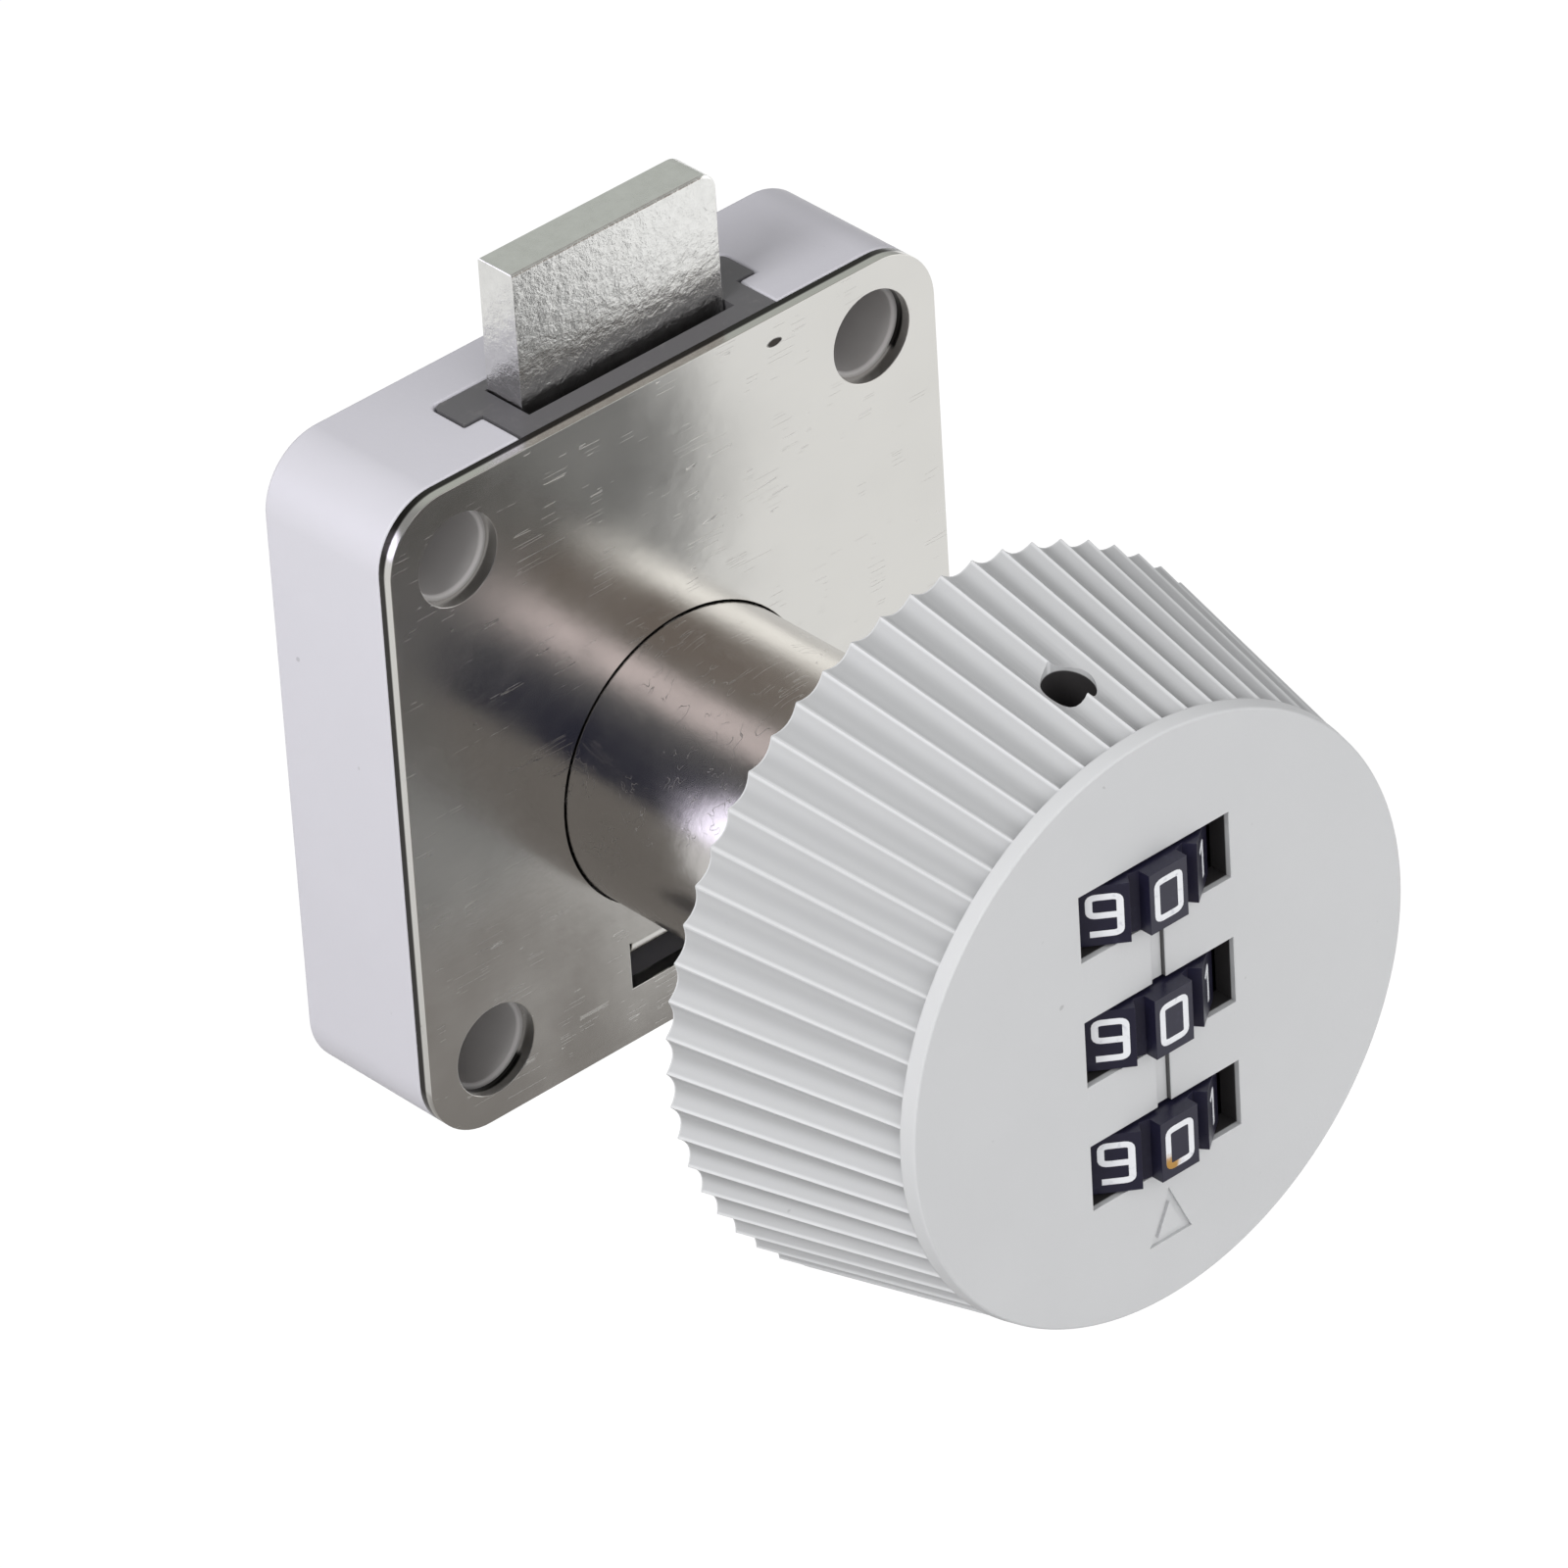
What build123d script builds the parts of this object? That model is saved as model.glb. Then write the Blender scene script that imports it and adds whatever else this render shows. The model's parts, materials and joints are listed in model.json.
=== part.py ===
from build123d import *
from math import cos, degrees, pi, sin
import os

os.makedirs("parts", exist_ok=True)

# A drawer lock that is opened by a code set on a round knob.
# Seen from the front, x runs to the right and z up, where the bolt comes out.
# y runs from the knob into the case. The origin is on the barrel's axis, at the front of the cover plate.
# The lock stands with its bolt out and its code set, as it does before the knob is turned.

# Clearances
turn_gap = 0.05          # radial gap of a shaft or tube that turns in a hole
slide_gap = 0.1          # gap at each side of a piece that slides
air_gap = 0.3            # gap between moving pieces that never touch

# Cover plate
plate_width = 39.8
plate_height = 41.2
plate_thickness = 1.0
plate_corner = 4.0
plate_rise = 3.95        # centre of the plate above the barrel's axis
plate_hole_radius = 2.8
hole_margin_x = 4.75     # from the sides of the plate to the holes
hole_margin_z = 4.55     # from the top and bottom of the plate to the holes
tab_width = 9.9
tab_window_height = 3.0
tab_window_top = -10.2
tab_bend_radius = 0.3    # inside of the bend
tab_reach = 1.9          # how far the bent tab goes past the back of the plate

# Case
case_depth = 9.35
case_wall = 1.6
case_hole_radius = 2.5
block_half = 4.1
rail_spacing = 11.8
rail_width = 1.4
fence_width = 1.2

# Bolt and the guide that it comes out of
bolt_width = 14.8
bolt_thickness = 2.8
bolt_front = 3.1         # front face of the bolt behind the front of the plate
bolt_proud = 8.45        # length of the bolt above the case
bolt_corner = 1.25
bolt_bevel = 0.15
tail_side_wall = 0.95    # between the pin's slot and the side of the bolt's tail
tail_drop = 9.55         # from the top of the case down to the tail of the bolt
tail_bottom = -6.5
guide_wide = 21.3
guide_narrow = 18.7
guide_step = 4.1         # depth where the guide grows wider
guide_back = 6.9
guide_mouth_front = 2.4
guide_corner = 0.5
guide_flange_height = 1.55
guide_flange_back = 8.0

# Barrel and spindle
barrel_radius = 9.0
barrel_length = 21.75
barrel_lap = 0.9         # length of the barrel inside the knob
barrel_joint = 0.1       # joint line round the barrel, where it goes through the plate
spindle_radius = 4.0
tang_side = 5.4
notch_width = 2.2
notch_depth = 1.1
notch_inner = 5.2
notch_outer = 8.2

# Crank that drives the bolt
crank_radius = 8.3
crank_pin_radius = 1.2
cam_hub_radius = 6.0
cam_end_radius = 2.3
cam_thickness = 1.4
cam_gap = 0.5            # gap between the plate and the cam
pin_reach = 2.5          # length of the pin inside the bolt
bolt_travel = 8.3
quarter_turn = pi / 2

# Knob
knob_back_radius = 21.4
knob_face_radius = 18.0
knob_length = 15.71
face_wall = 1.56
cavity_radius = 16.0
rib_count = 60
flute_facets = 3
flute_depth = 0.65       # at the back of the knob
flute_end_margin = 0.9   # smooth ring in front of the flutes
ring_step = 0.03         # the smooth ring stands this much proud of the crests
window_width = 11.0
window_height = 4.2
index_width = 1.0
index_depth = 0.3
arrow_tip = -10.9
arrow_base = -14.2
arrow_half_width = 1.55
arrow_line = 0.4
arrow_depth = 0.2
reset_hole_radius = 1.5
reset_hole_back = 9.65   # from the back of the knob to the hole's axis
cover_thickness = 1.2
post_x = 13.3
post_width = 4.8
post_tip_width = 2.2     # square tip of a post, which turns the dial frame

# Dials, their sleeves and the shaft that carries them
dial_inset = 5.06        # from the knob's face to the axis of the dials
dial_count = 3
dial_pitch = 8.05
dial_middle = 0.55       # height of the middle dial
dial_thickness = 3.8
pad_count = 10
pad_radius = 6.1
pad_width = 2.75
pad_length = 3.0         # radial length of a pad, down into the dial's ring
dial_root_radius = 5.45
sleeve_radius = 2.2
flange_radius = 3.2
flange_thickness = 1.2
flange_drop = 0.15       # gap between a dial and its sleeve's flange
gate_width = 1.5
gate_depth = 0.8
key_width = 0.8
key_height = 0.55
key_clear = 0.15         # gap between the keys and the dials when the shaft is pushed down
shaft_radius = 1.3
shaft_foot = 2.7         # length of the shaft below its collar
shaft_head = 0.6
collar_radius = 2.4
collar_thickness = 0.7
clip_radius = 2.4
clip_thickness = 0.6
reset_travel = 1.4
spring_length = 7.0
spring_width = 4.0
spring_thickness = 0.25

# Frame that carries the dials, and the springs and bar on it
frame_arm_width = 9.0
frame_arm_end = 3.6      # length of the arms past the two posts, together
frame_height = 28.5
frame_base = 1.1
web_thickness = 0.8
web_gap = 0.2            # gap between a dial and the web above it
web_width = 10.0
web_reach = 2.6          # how far the webs go past the axis of the dials
foot_web_top = -13.6
foot_web_thickness = 1.0
leaf_room = 2.1          # from the front of the locking bar to the lugs that its springs lean on
lug_thickness = 0.6
lug_width = 5.0
lug_height = 1.2
bar_width = 3.6
bar_thickness = 0.8
bar_travel = 1.0
bar_half_length = 13.4
finger_width = 1.2
finger_height = 0.9
tail_pin_width = 1.8
tail_pin_clear = 0.15    # gap between the bar's tail and the barrel when the code is set
leaf_thickness = 0.15
leaf_flat = 1.6          # the middle of a leaf, which bears on the bar
comb_thickness = 0.2
comb_x = 7.8
comb_foot = 1.8
comb_finger_height = 2.2

# Places that follow from the sizes above
hole_spacing_x = plate_width - 2 * hole_margin_x
hole_spacing_z = plate_height - 2 * hole_margin_z
case_front = plate_thickness
case_back = plate_thickness + case_depth
case_top = plate_rise + plate_height / 2
case_bottom = plate_rise - plate_height / 2
bolt_back = bolt_front + bolt_thickness
slot_radius = crank_pin_radius + turn_gap
tail_width = 2 * (crank_radius + slot_radius + tail_side_wall)
tail_top = case_top - tail_drop
cam_front = plate_thickness + cam_gap
cam_back = cam_front + cam_thickness
travel_per_radian = bolt_travel / quarter_turn
knob_back = -barrel_length
knob_face = knob_back - knob_length
dial_depth = -knob_face - dial_inset     # axis of the dials in front of the plate
cavity_front = knob_face + face_wall
cover_front = knob_back - cover_thickness
frame_front = cover_front - frame_base
barrel_end = knob_back - barrel_lap
bar_back = frame_front - bar_travel - turn_gap
bar_front = bar_back - bar_thickness
lug_depth = leaf_room - bar_front        # front face of the lugs, in front of the plate
tail_end = barrel_end - tail_pin_clear
notch_middle = (notch_inner + notch_outer) / 2
web_front = dial_depth + web_reach
pad_corner_radius = (pad_radius**2 + (pad_width / 2) ** 2) ** 0.5
dial_names = ["bottom", "middle", "top"]
dial_heights = [dial_middle + dial_pitch * (i - (dial_count - 1) / 2) for i in range(dial_count)]
sleeve_drop = flange_drop + flange_thickness
key_lift = reset_travel - key_clear      # length of a key inside its dial
collar_top = dial_heights[0] - dial_thickness / 2 - sleeve_drop - turn_gap
sleeve_stack_top = dial_heights[-1] - dial_thickness / 2 - sleeve_drop + dial_pitch - turn_gap
clip_bottom = sleeve_stack_top + turn_gap
web_bottoms = [height + dial_thickness / 2 + web_gap for height in dial_heights]


def facing(y):
    """The plane at this depth, seen from the front with x right and z up. It extrudes to the front."""
    return Plane.XZ.offset(-y)


def dial_plane(z):
    """The level plane at height z, with its centre on the axis of the dials."""
    return Plane(origin=(0, -dial_depth, z))


def keep(piece, name):
    """Labels a finished piece and writes its file."""
    piece.part.label = name
    export_step(piece.part, f"parts/{name}.step")


def open_slot(radius):
    """Cuts a slot that is open to the front, where a shaft or sleeve of this radius is laid in."""
    with Locations((0, radius)):
        Rectangle(2 * radius, web_front, align=(Align.CENTER, Align.MAX), mode=Mode.SUBTRACT)


def guide_outline(gap, z):
    """The T shape of the bolt guide seen from above, drawn smaller by gap at its sides and back."""
    with BuildSketch(Plane.XY.offset(z)) as outline:
        with Locations((0, case_front)):
            narrow_size = (guide_narrow - 2 * gap, guide_back - case_front - gap)
            Rectangle(*narrow_size, align=(Align.CENTER, Align.MIN))
        with Locations((0, guide_back - gap)):
            wide_size = (guide_wide - 2 * gap, guide_back - guide_step - 2 * gap)
            Rectangle(*wide_size, align=(Align.CENTER, Align.MAX))
        fillet(outline.vertices().group_by(Axis.Y)[-1], guide_corner)
    return outline.sketch


# Cover plate: a pressed plate with a tab lanced out of it and bent into the case
with BuildPart() as cover_plate:
    with BuildSketch(facing(plate_thickness)):
        with Locations((0, plate_rise)):
            RectangleRounded(plate_width, plate_height, plate_corner)
            with GridLocations(hole_spacing_x, hole_spacing_z, 2, 2):
                Circle(plate_hole_radius, mode=Mode.SUBTRACT)
        Circle(barrel_radius + barrel_joint, mode=Mode.SUBTRACT)
        with Locations((0, tab_window_top)):
            window = (tab_width + air_gap, tab_window_height)
            Rectangle(*window, align=(Align.CENTER, Align.MAX), mode=Mode.SUBTRACT)
    extrude(amount=plate_thickness)
    tab_middle = plate_thickness / 2
    tab_arc = tab_bend_radius + tab_middle
    with BuildSketch(Plane.YZ.offset(-tab_width / 2)):
        with BuildLine() as tab_line:
            bend = CenterArc((plate_thickness + tab_bend_radius, tab_window_top), tab_arc, 180, 90)
            Line(bend @ 1, (plate_thickness + tab_reach, tab_window_top - tab_arc))
        trace(line_width=plate_thickness)
    extrude(amount=tab_width)
keep(cover_plate, "cover_plate")

# Case: a die-cast box, open at the front, with a T-shaped gap in its top wall for the guide
inner_depth = case_depth - case_wall
floor_y = case_back - case_wall
with BuildPart() as case:
    with BuildSketch(facing(case_back)):
        with Locations((0, plate_rise)):
            RectangleRounded(plate_width, plate_height, plate_corner)
    extrude(amount=case_depth)
    with BuildSketch(facing(floor_y)):
        with Locations((0, plate_rise)):
            inner_size = (plate_width - 2 * case_wall, plate_height - 2 * case_wall)
            RectangleRounded(*inner_size, plate_corner - case_wall)
    extrude(amount=inner_depth, mode=Mode.SUBTRACT)
    # Corner blocks that carry the screw holes
    with BuildSketch(facing(floor_y)):
        with Locations((0, plate_rise)):
            with GridLocations(hole_spacing_x, hole_spacing_z, 2, 2):
                Rectangle(2 * block_half, 2 * block_half)
            RectangleRounded(plate_width, plate_height, plate_corner, mode=Mode.INTERSECT)
    extrude(amount=inner_depth)
    # Rails that the bolt slides on, up to the underside of the guide
    rail_top = case_top - case_wall - guide_flange_height - slide_gap
    with BuildSketch(facing(floor_y)):
        with Locations((0, case_bottom + case_wall / 2)):
            with GridLocations(rail_spacing, 0, 2, 1):
                rail_height = rail_top - case_bottom - case_wall / 2
                Rectangle(rail_width, rail_height, align=(Align.CENTER, Align.MIN))
    extrude(amount=floor_y - bolt_back - slide_gap)
    # Fences at both sides of the bolt's tail
    with BuildSketch(facing(floor_y)):
        with Locations((0, case_bottom + case_wall / 2)):
            with GridLocations(tail_width + 2 * slide_gap + fence_width, 0, 2, 1):
                fence_height = tail_top - case_bottom - case_wall / 2
                Rectangle(fence_width, fence_height, align=(Align.CENTER, Align.MIN))
    extrude(amount=floor_y - bolt_front)
    # Gap for the guide, and the four screw holes
    extrude(guide_outline(0, case_top), amount=-case_wall, mode=Mode.SUBTRACT)
    with BuildSketch(facing(case_back)):
        with Locations((0, plate_rise)):
            with GridLocations(hole_spacing_x, hole_spacing_z, 2, 2):
                Circle(case_hole_radius)
    extrude(amount=case_depth, mode=Mode.SUBTRACT)
keep(case, "case")

# Bolt guide: a moulded sleeve, flush with the top of the case, held by a flange under its wall
mouth_back = bolt_back + slide_gap
mouth_depth = mouth_back - guide_mouth_front
with BuildPart() as bolt_guide:
    extrude(guide_outline(slide_gap, case_top), amount=-case_wall)
    with BuildSketch(Plane.XY.offset(case_top - case_wall)):
        with Locations((0, case_front)):
            flange_size = (guide_wide - 2 * slide_gap, guide_flange_back - case_front)
            Rectangle(*flange_size, align=(Align.CENTER, Align.MIN))
    extrude(amount=-guide_flange_height)
    with BuildSketch(Plane.XY.offset(case_top)):
        with Locations((0, guide_mouth_front)):
            Rectangle(bolt_width + 2 * slide_gap, mouth_depth, align=(Align.CENTER, Align.MIN))
    extrude(amount=-case_wall - guide_flange_height, mode=Mode.SUBTRACT)
keep(bolt_guide, "bolt_guide")

# Barrel: turned, brazed into the plate, with two notches in its end for the locking bar
with BuildPart() as barrel:
    with BuildSketch(Plane.XY):
        with BuildLine():
            Polyline(
                (spindle_radius, barrel_end),
                (barrel_radius, barrel_end),
                (barrel_radius, plate_thickness),
                (spindle_radius, plate_thickness),
                close=True,
            )
        make_face()
    revolve(axis=Axis.Y)
    notch_size = (notch_outer - notch_inner, notch_width)
    with BuildSketch(facing(barrel_end + notch_depth)):
        with PolarLocations(notch_middle, 2, start_angle=180, angular_range=90, endpoint=True):
            Rectangle(*notch_size)
    extrude(amount=notch_depth, mode=Mode.SUBTRACT)
keep(barrel, "barrel")

# Spindle: a round bar with a square tang at each end, peened into the frame and the cam
with BuildPart() as spindle:
    with BuildSketch(facing(cam_front)):
        Circle(spindle_radius - turn_gap)
    extrude(amount=cam_front - cover_front)
    with BuildSketch(facing(cam_back)):
        Rectangle(tang_side, tang_side)
    extrude(amount=cam_back - frame_front)
keep(spindle, "spindle")

# Drive cam: a cast arm on the spindle's back end, with a pin that moves the bolt
with BuildPart() as drive_cam:
    with BuildSketch(facing(cam_back)):
        with BuildSketch(mode=Mode.PRIVATE) as arm:
            Circle(cam_hub_radius)
            with Locations((0, crank_radius)):
                Circle(cam_end_radius)
        make_hull(arm.edges())
        Rectangle(tang_side, tang_side, mode=Mode.SUBTRACT)
    extrude(amount=cam_thickness)
    pin_tip = bolt_front + pin_reach
    with BuildSketch(facing(pin_tip)):
        with Locations((0, crank_radius)):
            Circle(crank_pin_radius)
    extrude(amount=pin_tip - cam_back)
keep(drive_cam, "drive_cam")

# Bolt: a plate with a wider tail. The pin runs in a curved slot that gives an even travel:
# while the knob turns by an angle, the bolt goes down by that angle times travel_per_radian.
slot_steps = 12
slot_angles = [quarter_turn * i / slot_steps for i in range(slot_steps + 1)]
slot_line = [
    (crank_radius * sin(a), crank_radius * cos(a) + travel_per_radian * a) for a in slot_angles
]
bolt_top = case_top + bolt_proud
with BuildPart() as bolt:
    with BuildSketch(facing(bolt_back)):
        with Locations((0, bolt_top)):
            Rectangle(bolt_width, bolt_top - tail_bottom, align=(Align.CENTER, Align.MAX))
        with Locations((0, tail_top)):
            Rectangle(tail_width, tail_top - tail_bottom, align=(Align.CENTER, Align.MAX))
    extrude(amount=bolt_thickness)
    right_corner = bolt.edges().filter_by(Axis.Y).group_by(Axis.Z)[-1].sort_by(Axis.X)[-1]
    fillet(right_corner, bolt_corner)
    rim_edges = bolt.faces().sort_by(Axis.Z)[-1].edges()
    chamfer(rim_edges.filter_by(Axis.X), bolt_bevel)
    with BuildSketch(facing(bolt_back)):
        with BuildLine():
            Polyline(*slot_line)
        trace(line_width=2 * slot_radius)
        with Locations(slot_line[0], slot_line[-1]):
            Circle(slot_radius)
    extrude(amount=bolt_thickness, mode=Mode.SUBTRACT)
keep(bolt, "bolt")

# Knob: a fluted outline at the back and a smaller copy of it near the face are lofted into crisp ribs
rib_pitch = 2 * pi / rib_count
flute_end = knob_face + flute_end_margin
knob_slope = (knob_back_radius - knob_face_radius) / knob_length
ring_radius = knob_face_radius + knob_slope * flute_end_margin


def fluted_outline(y, crest_radius):
    """The knob's outline: hollow flutes of a few facets each, with a crisp crest between each two."""
    depth = flute_depth * crest_radius / knob_back_radius
    points = []
    for rib in range(rib_count):
        flute_middle = rib_pitch * (rib + 0.5)
        for facet in range(flute_facets):
            across = 2 * facet / flute_facets - 1
            radius = crest_radius - depth * (1 - across**2)
            angle = flute_middle + across * rib_pitch / 2
            points.append((radius * cos(angle), radius * sin(angle)))
    with BuildSketch(facing(y)) as outline:
        with BuildLine():
            Polyline(*points, close=True)
        make_face()
    return outline.sketch


with BuildPart() as knob_shell:
    back_outline = fluted_outline(knob_back, knob_back_radius)
    front_outline = fluted_outline(flute_end, ring_radius - ring_step)
    loft([back_outline, front_outline], ruled=True)
    # Smooth ring in front of the ribs
    with BuildSketch(Plane.XY):
        with BuildLine():
            Polyline(
                (0, knob_face),
                (knob_face_radius, knob_face),
                (ring_radius, flute_end),
                (0, flute_end),
                close=True,
            )
        make_face()
    revolve(axis=Axis.Y)
    # Cavity, closed at the back by the cover
    with BuildSketch(facing(knob_back)):
        Circle(cavity_radius)
    extrude(amount=knob_back - cavity_front, mode=Mode.SUBTRACT)
    # Posts whose square tips hold and turn the dial frame
    with BuildSketch(facing(frame_front)):
        with GridLocations(2 * post_x, 0, 2, 1):
            Rectangle(post_width, post_width)
    extrude(amount=frame_front - cavity_front)
    with BuildSketch(facing(cover_front)):
        with GridLocations(2 * post_x, 0, 2, 1):
            Rectangle(post_tip_width, post_tip_width)
    extrude(amount=frame_base)
    # Windows over the dials, and the index channel between them
    with BuildSketch(facing(cavity_front)):
        for height in dial_heights:
            with Locations((0, height)):
                Rectangle(window_width, window_height)
    extrude(amount=face_wall, mode=Mode.SUBTRACT)
    index_length = dial_heights[-1] - dial_heights[0]
    with BuildSketch(facing(knob_face + index_depth)):
        with Locations((0, dial_middle)):
            Rectangle(index_width, index_length)
    extrude(amount=index_depth, mode=Mode.SUBTRACT)
    # Arrow outline under the windows
    with BuildSketch(facing(knob_face + arrow_depth)):
        with BuildLine():
            Polyline(
                (0, arrow_tip), (arrow_half_width, arrow_base), (-arrow_half_width, arrow_base), close=True
            )
        make_face()
        offset(amount=-arrow_line, kind=Kind.INTERSECTION, mode=Mode.SUBTRACT)
    extrude(amount=arrow_depth, mode=Mode.SUBTRACT)
    # Hole for the pin that resets the code
    with BuildSketch(Plane(origin=(0, knob_back - reset_hole_back, cavity_radius - face_wall))):
        Circle(reset_hole_radius)
    extrude(amount=knob_back_radius - cavity_radius + face_wall, mode=Mode.SUBTRACT)
keep(knob_shell, "knob_shell")

# Back cover, pressed into the back of the knob onto the tips of the posts
with BuildPart() as knob_back_cover:
    with BuildSketch(facing(knob_back)):
        Circle(cavity_radius - turn_gap)
        Circle(barrel_radius + turn_gap, mode=Mode.SUBTRACT)
    extrude(amount=cover_thickness)
keep(knob_back_cover, "knob_back_cover")

# Dial frame: a cross-shaped base with one web above each dial and one under the shaft
tail_z = -notch_middle
tail_height = notch_outer - notch_inner - 2 * air_gap
with BuildPart() as dial_frame:
    with BuildSketch(facing(cover_front)):
        Rectangle(2 * post_x + frame_arm_end, frame_arm_width)
        with Locations((0, foot_web_top - foot_web_thickness)):
            Rectangle(web_width, frame_height, align=(Align.CENTER, Align.MIN))
        Rectangle(tang_side, tang_side, mode=Mode.SUBTRACT)
        with GridLocations(2 * post_x, 0, 2, 1):
            tip_hole = post_tip_width + 2 * turn_gap
            Rectangle(tip_hole, tip_hole, mode=Mode.SUBTRACT)
        with Locations((0, tail_z)):
            Rectangle(tail_pin_width + 2 * slide_gap, tail_height + 2 * slide_gap, mode=Mode.SUBTRACT)
    extrude(amount=frame_base)
    web_length = web_front + frame_front
    for bottom in web_bottoms:
        with BuildSketch(dial_plane(bottom)):
            with Locations((0, dial_depth - web_front)):
                Rectangle(web_width, web_length, align=(Align.CENTER, Align.MIN))
            open_slot(sleeve_radius + turn_gap)
        extrude(amount=web_thickness)
    with BuildSketch(dial_plane(foot_web_top)):
        with Locations((0, dial_depth - web_front)):
            Rectangle(lug_width, web_length, align=(Align.CENTER, Align.MIN))
        open_slot(shaft_radius + turn_gap)
    extrude(amount=-foot_web_thickness)
    # Lugs that the leaf springs of the locking bar lean on
    for base in (web_bottoms[-1] + web_thickness, foot_web_top):
        with BuildSketch(Plane(origin=(0, -lug_depth, base))):
            Rectangle(lug_width, lug_thickness, align=(Align.CENTER, Align.MAX))
        extrude(amount=lug_height)
    # Channel that the locking bar slides in
    channel_depth = frame_front - bar_front + slide_gap
    with BuildSketch(Plane(origin=(0, frame_front, -bar_half_length - slide_gap))):
        Rectangle(bar_width + 2 * slide_gap, channel_depth, align=(Align.CENTER, Align.MAX))
    extrude(amount=2 * (bar_half_length + slide_gap), mode=Mode.SUBTRACT)
keep(dial_frame, "dial_frame")

# Locking bar: a flat bar behind the dials with a finger for each gate and a tail for the barrel's notch
finger_tip = -dial_depth + flange_radius + air_gap
with BuildPart() as lock_bar:
    with BuildSketch(facing(bar_back)):
        Rectangle(bar_width, 2 * bar_half_length)
    extrude(amount=bar_thickness)
    with BuildSketch(facing(bar_back)):
        for height in dial_heights:
            with Locations((0, height - dial_thickness / 2 - flange_drop - flange_thickness / 2)):
                Rectangle(finger_width, finger_height)
    extrude(amount=bar_back - finger_tip)
    with BuildSketch(facing(tail_end)):
        with Locations((0, tail_z)):
            Rectangle(tail_pin_width, tail_height)
    extrude(amount=tail_end - bar_front)
keep(lock_bar, "lock_bar")

# Leaf springs that push the bar towards the barrel
leaf_span = lug_width - 2 * slide_gap
leaf_heights = (web_bottoms[-1] + web_thickness + slide_gap, foot_web_top + slide_gap)
with BuildPart() as lock_bar_springs:
    for base in leaf_heights:
        with BuildSketch(Plane.XY.offset(base)):
            with BuildLine():
                Polyline(
                    (-leaf_span / 2, -lug_depth + leaf_thickness / 2),
                    (-leaf_flat / 2, bar_front - leaf_thickness),
                    (leaf_flat / 2, bar_front - leaf_thickness),
                    (leaf_span / 2, -lug_depth + leaf_thickness / 2),
                )
            trace(line_width=leaf_thickness)
        extrude(amount=lug_height - 2 * slide_gap)
keep(lock_bar_springs, "lock_bar_springs")

# Detent comb: one bent spring strip, with a finger that clicks into the valleys of each dial
comb_tip = pad_corner_radius + air_gap
comb_half_v = comb_x - comb_tip
with BuildPart() as detent_comb:
    with BuildSketch(Plane.XY.offset(dial_heights[0] - comb_finger_height / 2)):
        with BuildLine():
            Polyline(
                (comb_x - comb_foot, frame_front - comb_thickness / 2),
                (comb_x, frame_front - comb_thickness / 2),
                (comb_x, -dial_depth + comb_half_v),
                (comb_tip + comb_thickness / 2, -dial_depth),
                (comb_x, -dial_depth - comb_half_v),
            )
        trace(line_width=comb_thickness)
    extrude(amount=dial_heights[-1] - dial_heights[0] + comb_finger_height)
    # The strip is split into fingers between the dials
    slit_back = (frame_front - dial_depth) / 2
    with BuildSketch(Plane.YZ.offset(comb_tip - comb_thickness)):
        for low, high in zip(dial_heights, dial_heights[1:]):
            with Locations((slit_back, (low + high) / 2)):
                slit_size = (dial_depth, high - low - comb_finger_height)
                Rectangle(*slit_size, align=(Align.MAX, Align.CENTER))
    extrude(amount=comb_x, mode=Mode.SUBTRACT)
keep(detent_comb, "detent_comb")

# Dial shaft: it carries the sleeves, and a pin through the knob's side pushes it down
with BuildPart() as dial_shaft:
    shaft_bottom = collar_top - collar_thickness - shaft_foot
    shaft_top = clip_bottom + clip_thickness + shaft_head
    with BuildSketch(dial_plane(shaft_bottom)):
        Circle(shaft_radius)
    extrude(amount=shaft_top - shaft_bottom)
    with BuildSketch(dial_plane(collar_top)):
        RegularPolygon(collar_radius, pad_count)
    extrude(amount=-collar_thickness)
keep(dial_shaft, "dial_shaft")

with BuildPart() as shaft_clip:
    with BuildSketch(dial_plane(clip_bottom)):
        RegularPolygon(clip_radius, pad_count)
        Rectangle(2 * shaft_radius, 2 * shaft_radius, mode=Mode.SUBTRACT)
    extrude(amount=clip_thickness)
keep(shaft_clip, "shaft_clip")

# Reset spring: a bowed leaf with a slot for the shaft, which lifts the shaft's collar again
spring_foot = foot_web_top + spring_thickness / 2
spring_crown = collar_top - collar_thickness - spring_thickness / 2 - turn_gap
with BuildPart() as reset_spring:
    with BuildSketch(Plane.XZ.offset(dial_depth - spring_width / 2)):
        with BuildLine():
            Polyline(
                (-spring_length / 2, spring_foot),
                (-collar_radius / 2, spring_crown),
                (collar_radius / 2, spring_crown),
                (spring_length / 2, spring_foot),
            )
        trace(line_width=spring_thickness)
    extrude(amount=spring_width)
    with BuildSketch(dial_plane(foot_web_top)):
        Rectangle(2 * (shaft_radius + slide_gap), 2 * (shaft_radius + slide_gap))
    extrude(amount=collar_top - foot_web_top, mode=Mode.SUBTRACT)
keep(reset_spring, "reset_spring")

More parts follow.
